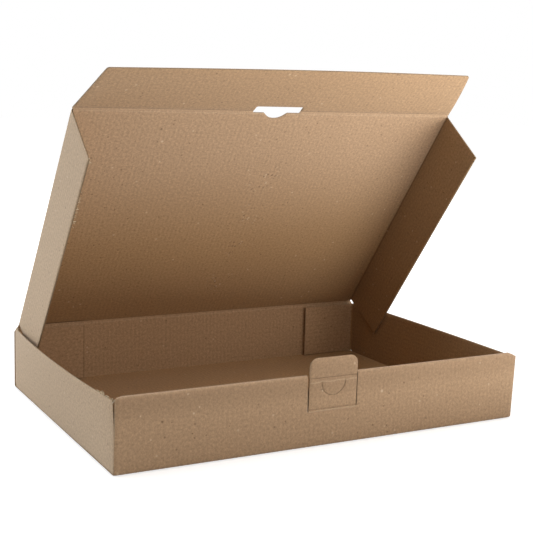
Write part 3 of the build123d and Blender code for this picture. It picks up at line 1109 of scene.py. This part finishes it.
def tuck_panels(across):
    """The tuck flap's outline: slanted ends with round corners, and its half of the slot."""
    side = abs(across)
    slant = TUCK_LENGTH * (TUCK_ROOT - side) / (TUCK_ROOT - TUCK_END)
    end = min(TUCK_LENGTH, slant)
    near = abs(slant - TUCK_LENGTH)
    if near < TUCK_CORNER_REACH:
        end -= TUCK_CORNER_DROP * (1 - near / TUCK_CORNER_REACH) ** 2
    begin = FOLD_GAP
    from_lock = abs(across - LOCK)
    if from_lock < SLOT_HALF:
        rounding = max(0.0, SLOT_TOP_CORNER - (SLOT_HALF - from_lock))
        rise = math.sqrt(max(0.0, SLOT_TOP_CORNER ** 2 - rounding ** 2))
        begin = SLOT_INTO_TUCK - SLOT_TOP_CORNER + rise
    return [(begin, max(end, begin + 0.05))]


tuck_sheet = dict(
    place=tuck_place,
    breaks=sorted(
        both_sides(0.0, TUCK_ROOT - TUCK_END_AIR, TUCK_END)
        + both_sides(LOCK, SLOT_HALF, SLOT_HALF - CORNER_BREAK, SLOT_HALF - SLOT_TOP_CORNER)
    ),
    panels_at=tuck_panels,
    rows=[1.6, SLOT_INTO_TUCK - SLOT_TOP_CORNER, SLOT_INTO_TUCK, 7.5, 15, 22, 30, 37, TUCK_LENGTH - 1.2],
    blank=lambda across, along: (across, TUCK_BLANK + along),
)
corrugated("tuck_flap", [tuck_sheet])

# Tongue and its tip


def front_place(across, along, out):
    """A place on the tongue, which leans a little to the right."""
    height = FRONT_BEND_HEIGHT + FRONT_TOP - along
    lean = TONGUE_SHIFT * (height - TONGUE_ROOT) / (TONGUE_TOP - TONGUE_ROOT)
    return Vector((across + lean, FRONT_MID - out, height))


def tongue_panels(across):
    """The tongue below its crease, with the half-moon finger cut."""
    low, high = front_along(TONGUE_CREASE), front_along(TONGUE_ROOT + FOLD_GAP)
    off = abs(across - LOCK)

    def cut(radius):
        return front_along(MOON_BOTTOM + MOON_RADIUS - math.sqrt(radius ** 2 - off ** 2))

    if off < MOON_INNER:
        return [(low, cut(MOON_INNER)), (cut(MOON_OUTER), high)]
    if off < MOON_OUTER:
        return [(low, front_along(MOON_TOP)), (cut(MOON_OUTER), high)]
    return [(low, high)]


tongue_half = TONGUE_WIDTH / 2
tongue_sheet = dict(
    place=front_place,
    breaks=sorted(both_sides(LOCK, tongue_half, MOON_OUTER, MOON_INNER)),
    panels_at=tongue_panels,
    rows=sorted(front_along(h) for h in (44.8, MOON_TOP, 43.0, 41, 38, 35, 33, 30, 27.5)),
)
corrugated("locking_tongue", [tongue_sheet])


def tip_panels(across):
    """The tip above the crease, with round corners."""
    rounding = max(0.0, TONGUE_CORNER - (tongue_half - abs(across - LOCK)))
    top = TONGUE_TOP - TONGUE_CORNER + math.sqrt(max(0.0, TONGUE_CORNER ** 2 - rounding ** 2))
    return [(front_along(top), front_along(TONGUE_CREASE + FOLD_GAP))]


tip_sheet = dict(
    place=front_place,
    breaks=sorted(
        both_sides(LOCK, tongue_half, tongue_half - CORNER_BREAK, tongue_half - TONGUE_CORNER)
    ),
    panels_at=tip_panels,
    rows=sorted(front_along(h) for h in (58.6, 56, 54, 51, 48.5)),
)
corrugated("tongue_tip", [tip_sheet])

# Folds that turn

HINGE_END = HALF_WIDTH - HINGE_CORNER_RUN
ROOT_ENDS = both_sides(LOCK, tongue_half)
CREASE_ENDS = both_sides(LOCK, tongue_half - CREASE_INSET)
root, crease = [Vector((0, FRONT_MID, height)) for height in (TONGUE_ROOT, TONGUE_CREASE)]
fold_ridge("lid_hinge_fold", -HINGE_END, HINGE_END, HINGE, "tray", LID_BLANK)
fold_ridge("left_front_fold", -TUCK_ROOT, LOCK - SLOT_HALF, FRONT_FOLD, "lid", TUCK_BLANK)
fold_ridge("right_front_fold", LOCK + SLOT_HALF, TUCK_ROOT, FRONT_FOLD, "lid", TUCK_BLANK)
fold_ridge("tongue_root_fold", *ROOT_ENDS, root, "tray", front_along(TONGUE_ROOT), 1.04)
fold_ridge("tongue_crease_fold", *CREASE_ENDS, crease, "locking_tongue", front_along(TONGUE_CREASE))


# Stage: white floor and background, soft lamps, the camera

def white_floor(light, near_glow, clear):
    """Pale matt floor that the camera sees as white, apart from the shadow near the box."""
    made, tree = new_material("white floor")
    matt = node(tree, "ShaderNodeBsdfDiffuse", in_Color=(light, light, light, 1))
    here = node(tree, "ShaderNodeTexCoord").outputs["Object"]
    away = node(tree, "ShaderNodeVectorMath", operation="LENGTH", in_Vector=here)
    reach = node(
        tree, "ShaderNodeMapRange", interpolation_type="SMOOTHSTEP", in_Value=away.outputs["Value"],
        in_From_Min=clear[0], in_From_Max=clear[1], in_To_Min=near_glow, in_To_Max=1.0,
    )
    ray = tree.nodes.new("ShaderNodeLightPath").outputs
    direct = math_node(tree, "ADD", ray["Is Camera Ray"], ray["Is Glossy Ray"], clamp=True)
    seen = math_node(tree, "MULTIPLY", direct, reach.outputs[0])
    both = tree.nodes.new("ShaderNodeAddShader")
    feed(tree, both.inputs[0], matt.outputs[0])
    feed(tree, both.inputs[1], node(tree, "ShaderNodeEmission", in_Strength=seen).outputs[0])
    node(tree, "ShaderNodeOutputMaterial", in_Surface=both.outputs[0])
    return made


floor_mesh = bpy.data.meshes.new("floor")
floor_corners = [(x, y, -0.0004) for x, y in ((-6, -6), (6, -6), (6, 6), (-6, 6))]
floor_mesh.from_pydata(floor_corners, [], [(0, 1, 2, 3)])
floor_mesh.materials.append(white_floor(0.5, 0.68, (0.25, 0.7)))
placed("floor", floor_mesh)

world = bpy.data.worlds.new("white studio")
bpy.context.scene.world = world
world.use_nodes = True
sky = world.node_tree
sky.nodes.clear()
seen_white = node(sky, "ShaderNodeBackground", in_Color=(1, 1, 1, 1), in_Strength=1.0)
room_light = node(sky, "ShaderNodeBackground", in_Color=(1.0, 0.86, 0.66, 1), in_Strength=0.02)
rays = sky.nodes.new("ShaderNodeLightPath").outputs
seen = math_node(sky, "ADD", rays["Is Camera Ray"], rays["Is Glossy Ray"], clamp=True)
seen = math_node(sky, "ADD", seen, rays["Is Transmission Ray"], clamp=True)
choose = sky.nodes.new("ShaderNodeMixShader")
for place, socket in enumerate((seen, room_light.outputs[0], seen_white.outputs[0])):
    feed(sky, choose.inputs[place], socket)
node(sky, "ShaderNodeOutputWorld", in_Surface=choose.outputs[0])


def softbox(name, place, size, power, colour=(1.0, 1.0, 1.0), target=(0, 0, 0.1)):
    """A square soft lamp that looks at a point."""
    lamp = bpy.data.lights.new(name, "AREA")
    lamp.shape = "RECTANGLE"
    lamp.size = lamp.size_y = size
    lamp.energy = power
    lamp.color = colour
    holder = placed(name, lamp)
    holder.location = place
    holder.rotation_euler = (Vector(target) - Vector(place)).to_track_quat("-Z", "Y").to_euler()
    holder.visible_camera = False


softbox("front low softbox", (0.2, -1.6, 0.3), 0.9, 5.0, (1.0, 0.84, 0.70))
softbox("front high softbox", (0.0, -0.9, 1.5), 1.0, 5.5, (1.0, 0.86, 0.72))
softbox("top softbox", (0.0, 0.2, 1.6), 1.2, 18.0)
softbox("left softbox", (-1.3, 0.6, 0.35), 0.9, 14.0, (0.90, 0.97, 1.0))
softbox("rear left softbox", (-1.2, 1.0, 0.8), 0.9, 4.6, (0.88, 0.95, 1.0))
softbox("rear softbox", (0.0, 1.5, 0.9), 1.0, 6.6)
softbox("right softbox", (1.5, 0.0, 0.6), 0.9, 10.5)
softbox("near right softbox", (0.6, -0.7, 0.32), 0.4, 1.75, (1.0, 0.9, 0.8), (0.05, 0.05, 0.15))
softbox("table reflector", (0.40, -0.55, 0.004), 0.6, 8.8, (1.0, 0.97, 0.93), (0.40, -0.54, 1.0))

FOCAL_PIXELS = 1088.1
PHOTO_SIDE = 533
eye = bpy.data.cameras.new("camera")
eye.sensor_width = 36.0
eye.lens = FOCAL_PIXELS / PHOTO_SIDE * eye.sensor_width
camera = placed("camera", eye)
right = Vector((0.87988, -0.47425, 0.02995))
down = Vector((-0.05058, -0.15613, -0.98644))
forward = Vector((0.47250, 0.86643, -0.16137))
turned = Matrix((right, -down, -forward)).transposed().to_4x4()
camera.matrix_world = Matrix.Translation((-0.37215, -0.69254, 0.23085)) @ turned
bpy.context.scene.camera = camera
bpy.context.scene.view_settings.view_transform = "Standard"
